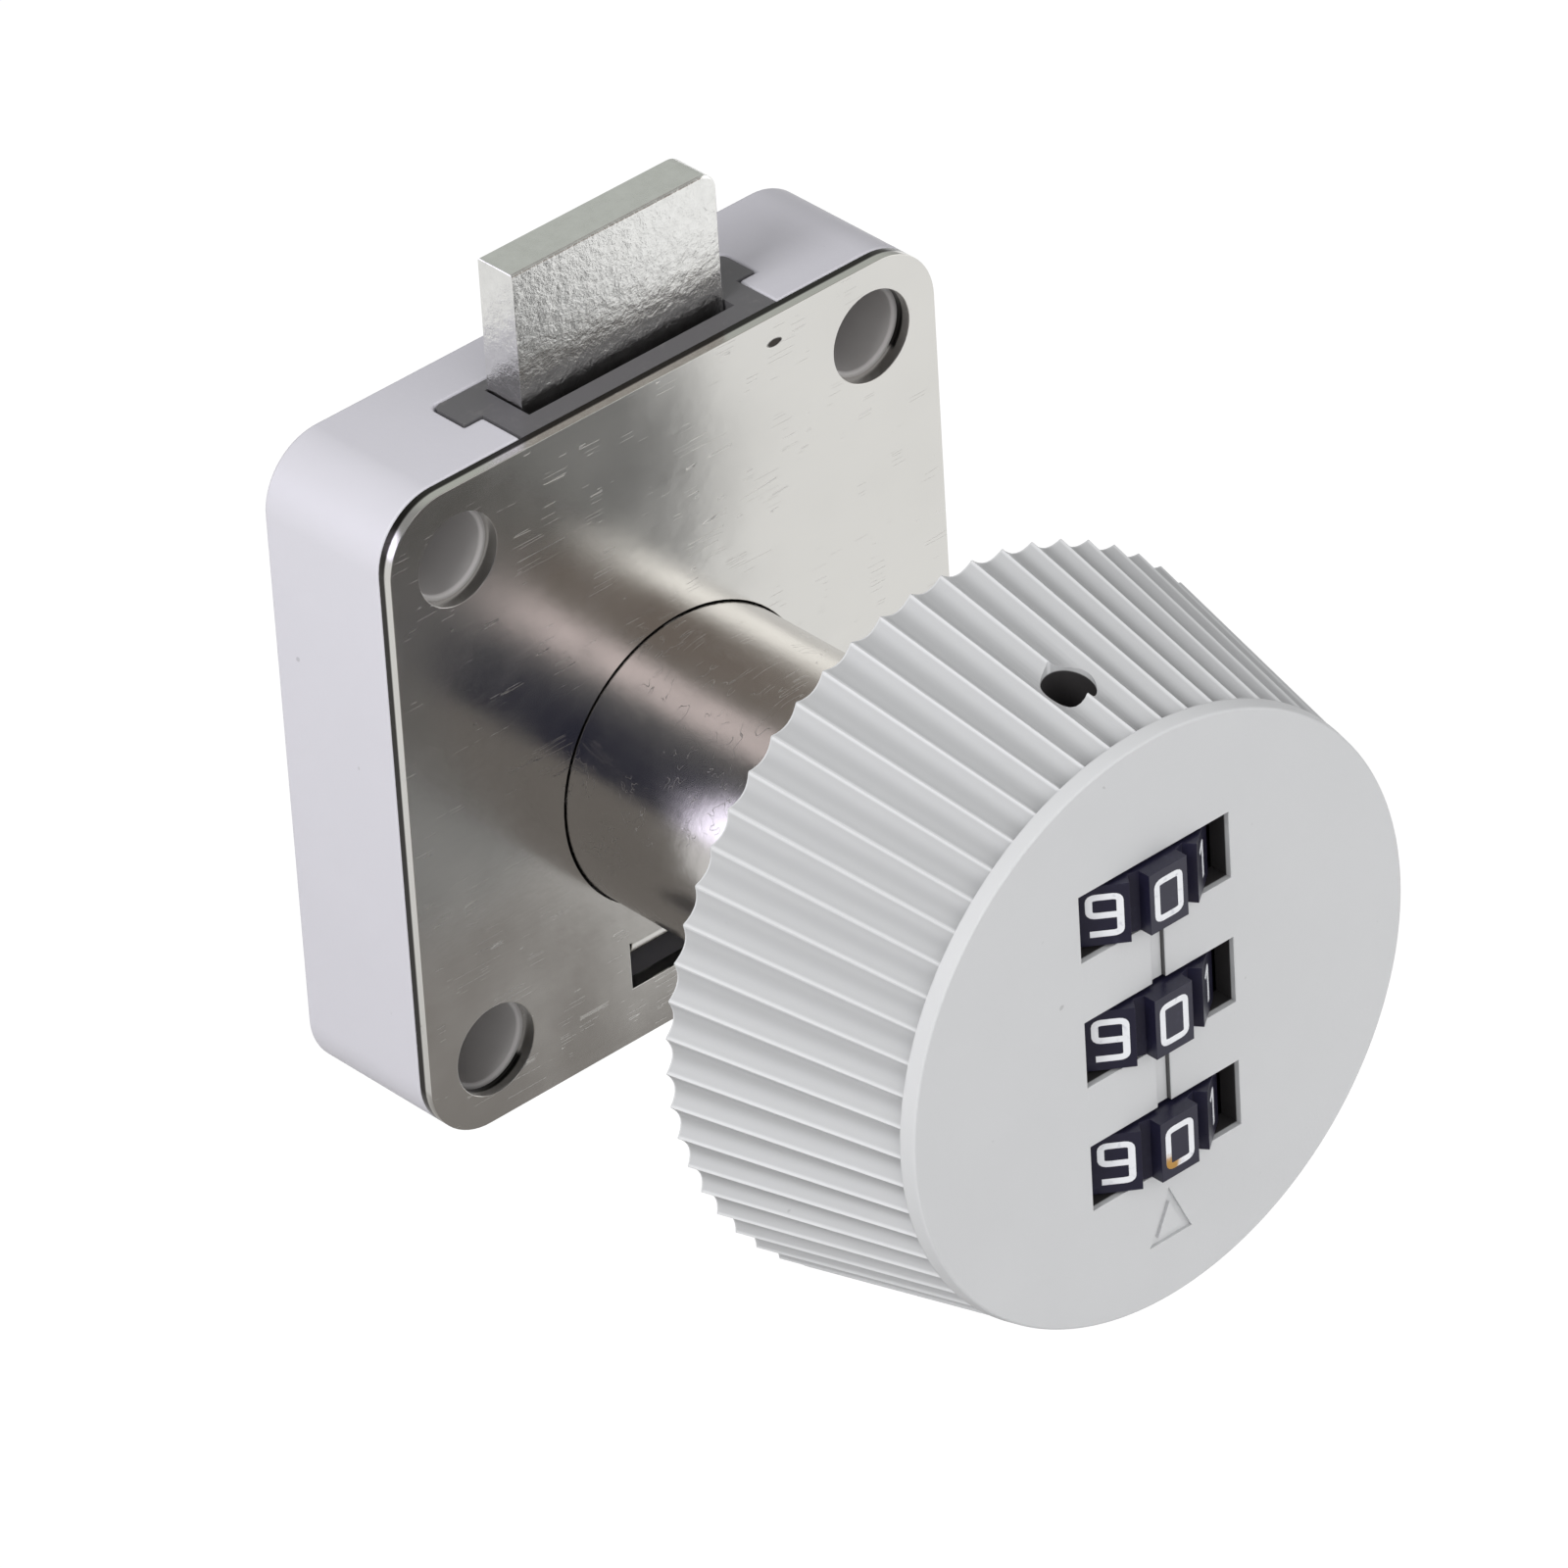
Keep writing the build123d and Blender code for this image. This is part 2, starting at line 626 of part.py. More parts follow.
# Dials and their sleeves, from the bottom up
for name, height in zip(dial_names, dial_heights):
    dial_bottom = height - dial_thickness / 2
    with BuildPart() as dial_wheel:
        with BuildSketch(dial_plane(dial_bottom)):
            RegularPolygon(dial_root_radius, pad_count, major_radius=False, rotation=-90)
            with PolarLocations(pad_radius, pad_count, start_angle=-90):
                Rectangle(pad_length, pad_width, align=(Align.MAX, Align.CENTER))
            Circle(sleeve_radius + turn_gap, mode=Mode.SUBTRACT)
            with PolarLocations(sleeve_radius, pad_count):
                slot_size = (2 * (key_height + slide_gap), key_width + 2 * slide_gap)
                Rectangle(*slot_size, mode=Mode.SUBTRACT)
        extrude(amount=dial_thickness)
    keep(dial_wheel, f"dial_wheel_{name}")

    flange_bottom = dial_bottom - sleeve_drop
    with BuildPart() as code_sleeve:
        with BuildSketch(dial_plane(flange_bottom)):
            Circle(sleeve_radius)
        extrude(amount=dial_pitch - turn_gap)
        with BuildSketch(dial_plane(flange_bottom)):
            RegularPolygon(flange_radius, pad_count, rotation=degrees(pi / pad_count))
            with Locations((0, flange_radius)):
                Rectangle(gate_width, 2 * gate_depth, mode=Mode.SUBTRACT)
        extrude(amount=flange_thickness)
        with BuildSketch(dial_plane(flange_bottom)):
            with Locations((sleeve_radius, 0)):
                Rectangle(2 * key_height, key_width)
        extrude(amount=sleeve_drop + key_lift)
        with BuildSketch(dial_plane(flange_bottom)):
            Circle(shaft_radius + turn_gap)
        extrude(amount=dial_pitch, mode=Mode.SUBTRACT)
    keep(code_sleeve, f"code_sleeve_{name}")
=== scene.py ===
# %% [markdown]
# A drawer lock that opens by a code.
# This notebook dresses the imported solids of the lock: it gives each piece its finish, models the pieces whose
# edges and ribs need more than the solids hold, and sets up a small white studio.
# Every length is in metres in the frame of the solids: x to the right, z up, and y from the knob into the
# case.

# %% Load the solids
import json
from math import cos, pi, radians, sin

import bpy
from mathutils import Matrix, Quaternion, Vector


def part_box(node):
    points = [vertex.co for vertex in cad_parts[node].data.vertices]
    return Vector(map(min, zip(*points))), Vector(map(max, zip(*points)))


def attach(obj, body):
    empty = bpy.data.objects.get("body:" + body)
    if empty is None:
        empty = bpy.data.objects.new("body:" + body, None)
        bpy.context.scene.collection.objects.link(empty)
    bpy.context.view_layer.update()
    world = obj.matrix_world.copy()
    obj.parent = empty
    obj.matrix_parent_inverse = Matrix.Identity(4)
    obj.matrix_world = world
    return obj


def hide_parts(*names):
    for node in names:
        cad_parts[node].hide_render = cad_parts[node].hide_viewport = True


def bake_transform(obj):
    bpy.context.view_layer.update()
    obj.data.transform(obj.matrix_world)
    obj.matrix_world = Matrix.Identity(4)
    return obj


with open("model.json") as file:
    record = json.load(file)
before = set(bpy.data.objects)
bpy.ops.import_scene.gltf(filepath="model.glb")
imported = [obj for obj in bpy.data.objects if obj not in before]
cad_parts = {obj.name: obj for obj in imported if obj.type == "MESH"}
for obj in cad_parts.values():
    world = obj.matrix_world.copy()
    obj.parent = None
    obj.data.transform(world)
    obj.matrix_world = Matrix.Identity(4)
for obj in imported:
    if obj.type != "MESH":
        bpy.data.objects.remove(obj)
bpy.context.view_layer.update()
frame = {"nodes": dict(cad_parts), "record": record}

nodes = frame["nodes"]
bodies = frame["record"]["behaviour"]["bodies"]
body_of_node = {node: body for body, members in bodies.items() for node in members}
slot_of_node = {part["node"]: part["material_slot"] for part in frame["record"]["subparts"]}
mm = 0.001

# %% [markdown]
# The camera comes first, because every later choice is judged through it.
# It stands at the photograph's angle, far away behind a long lens, so that parallel edges stay nearly
# parallel. A direction and a distance from a point on the object say more than a matrix would.

# %% Camera
camera_azimuth = radians(-40.69)   # to the left of straight in front
camera_elevation = radians(33.98)
camera_roll = radians(-3.6)
camera_distance = 0.7675
camera_aim = Vector((0.00318, -0.00423, -0.00168))
sensor_width = 36.0
focal_pixels = 14261.5             # focal length in pixels of a picture 1600 wide
picture_width = 1600

away = Vector((
    sin(camera_azimuth) * cos(camera_elevation),
    -cos(camera_azimuth) * cos(camera_elevation),
    sin(camera_elevation),
))
bpy.ops.object.camera_add(location=camera_aim + away * camera_distance)
camera = bpy.context.object
camera.rotation_mode = "QUATERNION"
camera.rotation_quaternion = (-away).to_track_quat("-Z", "Y") @ Quaternion((0, 0, 1), camera_roll)
camera.data.sensor_width = sensor_width
camera.data.lens = sensor_width * focal_pixels / picture_width
camera.data.clip_start = 0.05
camera.data.clip_end = 10
bpy.context.scene.camera = camera
bpy.context.scene.view_settings.view_transform = "Standard"
print(f"lens {camera.data.lens:.0f} mm at {camera_distance} m")

# %% [markdown]
# Finishes are node graphs. Wiring them by hand hides the sum that they work out, so this helper lets a
# node's output stand in a plain Python expression: `mask * 0.4 + 0.1` adds the two Math nodes by itself.

# %% A socket that can stand in a sum
class Wire:
    """A node's output. Each operator adds the Math node that it stands for."""

    def __init__(self, graph, socket):
        self.graph = graph
        self.socket = socket

    def __add__(self, other):
        return self.graph.maths("ADD", self, other)

    def __sub__(self, other):
        return self.graph.maths("SUBTRACT", self, other)

    def __rsub__(self, other):
        return self.graph.maths("SUBTRACT", other, self)

    def __mul__(self, other):
        return self.graph.maths("MULTIPLY", self, other)

    def __pow__(self, other):
        return self.graph.maths("POWER", self, other)

    def __abs__(self):
        return self.graph.maths("ABSOLUTE", self)

    __radd__ = __add__
    __rmul__ = __mul__


class Graph:
    """The nodes of one material or of the world."""

    def __init__(self, tree):
        self.tree = tree

    def node(self, kind, settings=(), sockets=(), output=0):
        """Adds a node, sets it up, gives its sockets their values or links, and returns one output."""
        made = self.tree.nodes.new(kind)
        for name, value in dict(settings).items():
            setattr(made, name, value)
        for name, value in dict(sockets).items():
            if isinstance(value, Wire):
                self.tree.links.new(value.socket, made.inputs[name])
            else:
                made.inputs[name].default_value = value
        return Wire(self, made.outputs[output])

    def maths(self, operation, first, second=0.0):
        return self.node("ShaderNodeMath", {"operation": operation}, {0: first, 1: second})

    def vector(self, operation, first, second):
        """A number from two vectors, such as their distance."""
        return self.node("ShaderNodeVectorMath", {"operation": operation}, {0: first, 1: second}, "Value")

    def place(self, stretch=(1, 1, 1), turn=(0, 0, 0), shift=(0, 0, 0)):
        """The point on the piece, in metres, stretched or turned for a pattern."""
        point = self.node("ShaderNodeTexCoord", output="Object")
        return self.moved(point, stretch, turn, shift)

    def moved(self, point, stretch, turn, shift=(0, 0, 0)):
        mapping = {"Vector": point, "Scale": stretch, "Rotation": turn, "Location": shift}
        return self.node("ShaderNodeMapping", sockets=mapping)

    def axes(self):
        """The place on the piece as x, y and z."""
        point = self.place()
        return [self.node("ShaderNodeSeparateXYZ", sockets={"Vector": point}, output=axis) for axis in "XYZ"]

    def noise(self, size, detail=3.0, roughness=0.5, at=None, distortion=0.0):
        """Soft random spots of about this size in metres, from 0 to 1."""
        sockets = {"Scale": 1 / size, "Detail": detail, "Roughness": roughness, "Distortion": distortion}
        sockets["Vector"] = at or self.place()
        return self.node("ShaderNodeTexNoise", sockets=sockets)

    def above(self, value, low, high):
        """Rises smoothly from 0 to 1 while value goes from low to high."""
        sockets = {"Value": value, "From Min": low, "From Max": high}
        return self.node("ShaderNodeMapRange", {"interpolation_type": "SMOOTHSTEP"}, sockets)

    def below(self, value, low, high):
        """Falls smoothly from 1 to 0 while value goes from low to high."""
        return 1 - self.above(value, low, high)

    def mix(self, factor, first, second):
        """A colour between two colours. The Mix node's colour sockets are its sixth and seventh."""
        first, second = (c if isinstance(c, Wire) else (*c, 1.0) for c in (first, second))
        sockets = {0: factor, 6: first, 7: second}
        return self.node("ShaderNodeMix", {"data_type": "RGBA"}, sockets, output=2)

    def bump(self, height, depth, under=None):
        """Turns a height from 0 to 1 into a relief of this depth in metres, on top of another relief."""
        sockets = {"Height": height, "Distance": depth}
        if under:
            sockets["Normal"] = under
        return self.node("ShaderNodeBump", sockets=sockets)


class Finish(Graph):
    """A material with one Principled shader, whose fixed values are set on its own sockets."""

    def __init__(self, name, **fixed):
        self.material = bpy.data.materials.new(name)
        self.material.use_nodes = True
        super().__init__(self.material.node_tree)
        self.shader = self.tree.nodes["Principled BSDF"]
        for socket, value in fixed.items():
            self.shader.inputs[socket.replace("_", " ")].default_value = value

    def varies(self, socket, wire):
        """What changes over the surface."""
        self.tree.links.new(wire.socket, self.shader.inputs[socket])


def toned(colour, factor):
    """A darker or lighter tone of a colour."""
    return tuple(min(1.0, factor * c) for c in colour)


print("helpers ready")

# %% [markdown]
# The knob and the case are painted castings: a fine even grain, a satin sheen that changes a little from
# spot to spot, and a faint mottling of the grey. The grain is a relief, because a flat grey looks like
# plastic foil as soon as a lamp glances over it. Light and shade are painted into the colour in places: a
# painted highlight on the crests of the grip, painted shade over the grip and deeper in its hollows, and a
# dark painted shade inside the knob, along one wall of its channel and in the screw holes of the case.
# Where one look gives way to another follows from the solids' boxes and a few sizes that no box shows.

# %% Where the paint changes
knob_low, knob_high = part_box("knob_shell")
knob_face = knob_low.y
knob_back = knob_high.y
knob_back_radius = knob_high.x
knob_face_radius = 18.0 * mm
knob_slope = (knob_back_radius - knob_face_radius) / (knob_back - knob_face)
ribs = 60
channel_width = 1.0 * mm           # the channel between the windows
plate_low, plate_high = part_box("cover_plate")
plate_middle = (plate_low + plate_high) / 2
hole_spacing_x = 30.3 * mm
hole_spacing_z = 32.1 * mm
case_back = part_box("case")[1].y
print(f"knob {2 * knob_back_radius / mm:.1f} mm wide, {(knob_back - knob_face) / mm:.2f} mm long")

# %% Painted greys
# a near black painted shade for the knob's recesses: its inside, the walls of its windows and holes, and one
# wall of the channel
recess_shade = (0.035, 0.033, 0.034)


def painted(name, grey, grain_size, grain_depth, sheen):
    """The finish, its colour, and its place as x, y and z."""
    finish = Finish(name, Metallic=0.0, IOR=1.45)
    mottle = finish.noise(6 * mm, detail=4.0)
    grain = finish.noise(grain_size, detail=2.0, roughness=0.6)
    spots = finish.noise(0.9 * mm, detail=1.0, at=finish.place(shift=(3, 1, 2)))
    colour = finish.mix(mottle, toned(grey, 0.97), toned(grey, 1.02))
    colour = finish.mix(finish.above(spots, 0.80, 0.84) * 0.35, colour, toned(grey, 0.35))
    finish.varies("Roughness", grain * 0.12 + mottle * 0.08 + (sheen - 0.1))
    finish.varies("Normal", finish.bump(grain + mottle * 0.4, grain_depth))
    return finish, colour, finish.axes()


def knob_paint():
    """A painted highlight on the crests, painted shade over the grip and in the hollows, and dark painted shade
    inside the shell and along one wall of the channel.
    """
    grey = (0.60, 0.605, 0.615)
    crest_highlight = (0.86, 0.865, 0.88)
    grip_shade_share, crest_highlight_share, hollow_shade_share, channel_shade_share = 0.30, 0.45, 0.65, 0.85
    channel_reach = 9.5 * mm
    finish, colour, (x, y, z) = painted("knob_grey", grey, 0.22 * mm, 0.006 * mm, 0.46)

    outside = (y - knob_face) * knob_slope + knob_face_radius
    depth = outside - (x * x + z * z) ** 0.5
    rib = finish.maths("ARCTAN2", z, x) * (ribs / (2 * pi))
    off_crest = abs(rib - finish.maths("ROUND", rib))
    before_back = finish.below(y, knob_back - 0.10 * mm, knob_back - 0.05 * mm)
    near_outside = finish.below(depth, 0.9 * mm, 1.1 * mm)
    on_grip = finish.above(y, knob_face + 0.8 * mm, knob_face + 1.0 * mm) * near_outside * before_back
    on_crest = finish.below(off_crest, 0.03, 0.09) * on_grip
    in_hollow = finish.above(off_crest, 0.18, 0.48) * on_grip
    # painted shade over the whole grip, a painted highlight on the crests, and deeper painted shade in the
    # hollows
    colour = finish.mix(on_grip * grip_shade_share, colour, toned(grey, 0.5))
    colour = finish.mix(on_crest * crest_highlight_share, colour, crest_highlight)
    colour = finish.mix(in_hollow * hollow_shade_share, colour, toned(grey, 0.62))

    # dark painted shade inside the shell: the walls of the windows, the reset hole and the cavity
    below_face = finish.above(y, knob_face + 0.30 * mm, knob_face + 0.42 * mm)
    below_grip = finish.above(depth, 0.80 * mm, 0.92 * mm)
    colour = finish.mix(below_face * below_grip * before_back, colour, recess_shade)

    # a dark line of painted shade along the channel's right wall
    on_wall = finish.below(abs(x - channel_width / 2), 0.05 * mm, 0.09 * mm)
    in_channel = finish.above(y, knob_face + 0.04 * mm, knob_face + 0.08 * mm) * on_wall
    between_dials = finish.below(abs(z), channel_reach, channel_reach + 0.1 * mm)
    finish.varies("Base Color", finish.mix(in_channel * between_dials * channel_shade_share, colour, recess_shade))
    return finish.material


def case_paint():
    """A darker painted shade in the screw holes, which end just before the case's back."""
    finish, colour, (x, y, z) = painted("case_grey", (0.62, 0.61, 0.66), 0.3 * mm, 0.008 * mm, 0.42)
    from_hole_x = abs(x - plate_middle.x) - hole_spacing_x / 2
    from_hole_z = abs(z - plate_middle.z) - hole_spacing_z / 2
    from_hole = (from_hole_x * from_hole_x + from_hole_z * from_hole_z) ** 0.5
    before_back = finish.below(y, case_back - 0.30 * mm, case_back - 0.15 * mm)
    in_hole = finish.below(from_hole, 2.85 * mm, 2.95 * mm) * before_back
    # painted shade: the walls of the screw holes are drawn darker
    finish.varies("Base Color", finish.mix(in_hole, colour, (0.42, 0.405, 0.40)))
    return finish.material


knob_grey = knob_paint()
case_grey = case_paint()
print(knob_grey.name, case_grey.name)

# %% [markdown]
# The cover plate and the barrel are nickel plated and only roughly polished. They mirror the barrel, the
# knob and the studio, but the picture is soft. Fine lines of polish blur it one way, and short scratches
# catch the light. A scratch is where a stretched noise crosses a level, seen through a patchy mask.

# %% Satin nickel
def scratches(finish, length, width, turn, amount):
    """Short thin lines in one direction, 1 on a line and 0 elsewhere."""
    along = finish.place(stretch=(width / length, 1, 1), turn=(0, turn, 0))
    level = finish.noise(width * 12, detail=1.0, at=along, distortion=0.3)
    line = finish.below(abs(level - 0.5), 0.002, 0.008)
    patches = finish.noise(length, detail=2.0, at=finish.place(shift=(turn, 2, 5)))
    return line * finish.above(patches, 1 - amount, 1.04 - amount)


def nickel(name, colour, low, high, polish_stretch, scratched, dimple_depth):
    """The finish, its colour and its relief. Its roughness goes from low to high."""
    finish = Finish(name, Metallic=1.0)
    cloud = finish.noise(7 * mm, detail=4.0)
    polish = finish.noise(0.35 * mm, detail=3.0, at=finish.place(stretch=polish_stretch))
    dimple = finish.noise(1.1 * mm, detail=3.0, roughness=0.55)
    lines = scratches(finish, 3.0 * mm, 0.06 * mm, 0.5, scratched)
    lines += scratches(finish, 2.2 * mm, 0.05 * mm, -0.9, scratched)
    shade = finish.mix(cloud, toned(colour, 0.9), toned(colour, 1.06))
    clouded = finish.above(cloud, 0.3, 0.7) * (high - low)
    finish.varies("Roughness", clouded + polish * 0.05 + low + lines * 0.15)
    relief = finish.bump(polish, 0.0012 * mm)
    relief = finish.bump(dimple, dimple_depth, under=relief)
    return finish, shade, finish.bump(1 - lines, 0.008 * mm, under=relief)


def sheet_nickel():
    """The plate: its sheared edge is dark at the back, where it meets the case, and it has one punch mark."""
    finish, shade, relief = nickel(
        "plate_nickel", (0.70, 0.69, 0.66), 0.12, 0.22,
        polish_stretch=(0.1, 1, 1), scratched=0.40, dimple_depth=0.006 * mm,
    )
    x, y, z = finish.axes()
    beside = finish.above(abs(x), 17.0 * mm, 17.3 * mm)
    above = finish.above(abs(z - plate_middle.z), 17.6 * mm, 17.9 * mm)
    joint = finish.above(y, 0.45 * mm, 0.60 * mm) * finish.maths("MAXIMUM", beside, above)
    shade = finish.mix(joint, shade, (0.035, 0.033, 0.030))

    punch_place = (8.1 * mm, 0, 22.9 * mm)
    stretch, turn = (0.45, 1, 1), (0, 0.5, 0)      # the mark is a short slanting stroke
    here = finish.place(stretch, turn)
    from_punch = finish.vector("DISTANCE", here, finish.moved(punch_place, stretch, turn))
    mark = finish.below(from_punch, 0.18 * mm, 0.26 * mm)
    finish.varies("Base Color", finish.mix(mark, shade, (0.05, 0.045, 0.04)))
    finish.varies("Normal", finish.bump(1 - mark, 0.15 * mm, under=relief))
    return finish.material


def tube_nickel():
    finish, shade, relief = nickel(
        "barrel_nickel", (0.68, 0.66, 0.64), 0.13, 0.22,
        polish_stretch=(1, 0.06, 1), scratched=0.42, dimple_depth=0.010 * mm,
    )
    finish.varies("Base Color", shade)
    finish.varies("Normal", relief)
    return finish.material


plate_nickel = sheet_nickel()
barrel_nickel = tube_nickel()
print(plate_nickel.name, barrel_nickel.name)

# %% [markdown]
# The bolt is a casting that was plated bright without being smoothed first, so its front and sides look
# hammered, while its end was ground and shines dully. One relief with a mask for the end does both.

# %% Plated bolt
def plated_bolt():
    finish = Finish("bolt_plated", Metallic=1.0)
    lumps = finish.noise(0.8 * mm, detail=5.0, roughness=0.68, distortion=0.2)
    pits = finish.noise(0.35 * mm, detail=2.0)
    height = finish.axes()[2]
    ground_end = finish.above(height, 32.90 * mm, 32.98 * mm)
    finish.varies("Base Color", finish.mix(lumps, (0.70, 0.70, 0.68), (0.93, 0.93, 0.91)))
    finish.varies("Roughness", lumps * 0.10 + ground_end * 0.10 + 0.13)
    relief = finish.bump(lumps * (1.1 - ground_end), 0.07 * mm)
    finish.varies("Normal", finish.bump(pits, 0.010 * mm, under=relief))
    return finish.material


bolt_plated = plated_bolt()
print(bolt_plated.name)

# %% [markdown]
# The guide is a dark moulding and the dials are near black. Moulded parts show a fine grain and paler
# patches where they are handled.

# %% Dark mouldings
def moulded(name, colour, rubbed, sheen, grain_depth):
    finish = Finish(name, Metallic=0.0, IOR=1.5)
    cloud = finish.noise(2.5 * mm, detail=4.0)
    grain = finish.noise(0.18 * mm, detail=2.0)
    rub = finish.above(finish.noise(1.2 * mm, detail=5.0, roughness=0.7), 0.55, 0.75)
    finish.varies("Base Color", finish.mix(rub * 0.35 + cloud * 0.2, colour, rubbed))
    finish.varies("Roughness", cloud * 0.16 + grain * 0.06 + sheen)
    finish.varies("Normal", finish.bump(grain, grain_depth))
    return finish.material


guide_dark = moulded("guide_dark", (0.11, 0.108, 0.115), (0.20, 0.19, 0.19), 0.34, 0.005 * mm)
dial_black = moulded("dial_black", (0.012, 0.011, 0.028), (0.04, 0.04, 0.075), 0.20, 0.003 * mm)
print(guide_dark.name, dial_black.name)

# %% [markdown]
# Inside the knob and the case lie turned brass, cast zinc and plain steel. They hardly show, but each has
# the marks of how it was made: rings from the lathe, a frosty cast skin, or the rolled grain of a strip.

# %% Inner metals
def metal(name, colour, low, spread, stretch, size, depth):
    """A metal whose marks have this size, stretch and depth. Its roughness is low plus what they spread."""
    finish = Finish(name, Metallic=1.0)
    marks = finish.noise(size, detail=4.0, at=finish.place(stretch=stretch))
    cloud = finish.noise(4 * mm, detail=3.0)
    finish.varies("Base Color", finish.mix(cloud, toned(colour, 0.8), colour))
    finish.varies("Roughness", marks * spread + cloud * 0.1 + low)
    finish.varies("Normal", finish.bump(marks, depth))
    return finish.material


rings, frost, rolled_y, rolled_z = (0.1, 0.1, 1), (1, 1, 1), (1, 0.1, 1), (1, 1, 0.1)
finish_of_slot = {
    "knob_grey": knob_grey,
    "case_grey": case_grey,
    "guide_dark": guide_dark,
    "bolt_plated": bolt_plated,
    "dial_black": dial_black,
    "satin_nickel": plate_nickel,
    "sleeve_brass": metal("sleeve_brass", (0.80, 0.62, 0.30), 0.15, 0.15, rings, 0.3 * mm, 0.004 * mm),
    "frame_zinc": metal("frame_zinc", (0.60, 0.60, 0.61), 0.32, 0.25, frost, 0.4 * mm, 0.010 * mm),
    "inner_steel": metal("inner_steel", (0.56, 0.56, 0.57), 0.20, 0.18, rolled_y, 0.3 * mm, 0.004 * mm),
    "spring_steel": metal("spring_steel", (0.44, 0.45, 0.50), 0.22, 0.12, rolled_z, 0.2 * mm, 0.002 * mm),
}
for name, node in nodes.items():
    node.data.materials.clear()
    node.data.materials.append(finish_of_slot[slot_of_node[name]])
nodes["barrel"].data.materials[0] = barrel_nickel
print(f"{len(nodes)} solids have their finish")

# %% [markdown]
# The solids have knife edges, which no real piece has: a lamp never glints on them. The copies below get a
# small round on every edge. A copy's loose triangles are merged first and joined into whole faces, or else
# the bevel would follow the triangles.

# %% Helpers for pieces
smooth_angle = radians(35)
merge_distance = 0.002 * mm


def pick(piece):
    """Selects one object and nothing else."""
    bpy.ops.object.select_all(action="DESELECT")
    piece.select_set(True)
    bpy.context.view_layer.objects.active = piece


def edit_all():
    """Opens the picked mesh for editing with everything selected."""
    bpy.ops.object.mode_set(mode="EDIT")
    bpy.ops.mesh.select_all(action="SELECT")


def done():
    """Closes the mesh again."""
    bpy.ops.object.mode_set(mode="OBJECT")


def apply(piece, kind, **settings):
    """Adds a modifier and makes it part of the mesh."""
    pick(piece)
    modifier = piece.modifiers.new(kind.lower(), kind)
    for name, value in settings.items():
        setattr(modifier, name, value)
    bpy.ops.object.modifier_apply(modifier=modifier.name)


def settle(piece, name, finish, node):
    """Smooth shading, a name, a finish and a body: the last steps of every piece that stands for a solid."""
    pick(piece)
    bpy.ops.object.shade_smooth_by_angle(angle=smooth_angle)
    apply(piece, "WEIGHTED_NORMAL", keep_sharp=True, weight=100)
    piece.name = name
    piece.data.materials.clear()
    piece.data.materials.append(finish)
    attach(piece, body_of_node[node])
    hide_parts(node)
    print(f"{name}: {len(piece.data.polygons)} faces")


def merged_copy(node, name):
    """A copy of a solid whose triangles share their points. It is left open for editing."""
    piece = bpy.data.objects.new(name, nodes[node].data.copy())
    bpy.context.collection.objects.link(piece)
    pick(piece)
    bpy.ops.mesh.customdata_custom_splitnormals_clear()
    edit_all()
    bpy.ops.mesh.remove_doubles(threshold=merge_distance)
    return piece


print("a merged copy, and the steps that finish a piece")

# %% Rounded copies of the solids
flat_angle = radians(0.5)          # faces this close to one plane become one face


def rounded_copy(node, name, finish, radius, segments=2):
    piece = merged_copy(node, name)
    bpy.ops.mesh.dissolve_limited(angle_limit=flat_angle)
    done()
    apply(piece, "BEVEL", width=radius, segments=segments, limit_method="ANGLE", angle_limit=smooth_angle)
    settle(piece, name, finish, node)


rounded_copy("case", "case_casting", case_grey, 0.22 * mm, 3)
rounded_copy("cover_plate", "cover_plate_sheet", plate_nickel, 0.16 * mm, 3)
rounded_copy("barrel", "barrel_tube", barrel_nickel, 0.10 * mm)
rounded_copy("bolt_guide", "bolt_guide_moulding", guide_dark, 0.10 * mm)
rounded_copy("bolt", "bolt_bar", bolt_plated, 0.16 * mm, 3)

# %% [markdown]
# The reset spring is a bowed leaf that flattens when the shaft goes down: its feet stay on the knob's frame
# and its crown follows the shaft's collar. Its copy is only merged and shaded smooth, and the solid is hidden.

# %% Reset spring
leaf = merged_copy("reset_spring", "reset_spring_leaf")
done()
bpy.ops.object.shade_smooth_by_angle(angle=smooth_angle)
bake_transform(leaf)
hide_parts("reset_spring")
print(f"{leaf.name}: {len(leaf.data.polygons)} faces")

# %% [markdown]
# The knob's grip has sixty hollow flutes. One ring of points is enough to start from: every eighth point is
# a crest, and the points between sink by their share of the flute's depth. Extruding the ring and sinking it
# deeper makes the cone, and further extrusions of the same ring make the rim, the face and the inside.

# %% The knob's ring of points
steps = 8                          # points from one crest to the next
ring_width = 0.9 * mm              # the smooth ring between the flutes and the face
ring_step = 0.03 * mm              # the smooth ring stands this much proud of the crests
ring_radius = knob_face_radius + knob_slope * ring_width
flute_end = knob_face + ring_width
back_depth = 0.5 * mm
front_depth = 0.75 * mm


def round_axis(point):
    """A point's place round the knob's axis, as x and z."""
    return Vector((point.x, point.z))


def flutes_round(point):
    """How many flutes round the axis a point lies from the x axis."""
    return round_axis(point).angle_signed(Vector((1, 0))) / (2 * pi) * ribs


def step_of(vertex):
    """Which of the points of a flute this is, 0 on a crest."""
    return round(flutes_round(vertex.co) * steps) % steps


def flute_radius(step, crest_radius, depth):
    across = 2 * step / steps - 1
    return crest_radius - depth * (1 - across**2)


def choose(piece, test):
    """Selects the points that pass a test, and leaves edit mode open."""
    bpy.ops.object.mode_set(mode="EDIT")
    bpy.ops.mesh.select_mode(type="VERT")
    bpy.ops.mesh.select_all(action="DESELECT")
    done()
    for vertex in piece.data.vertices:
        vertex.select = test(vertex)
    bpy.ops.object.mode_set(mode="EDIT")


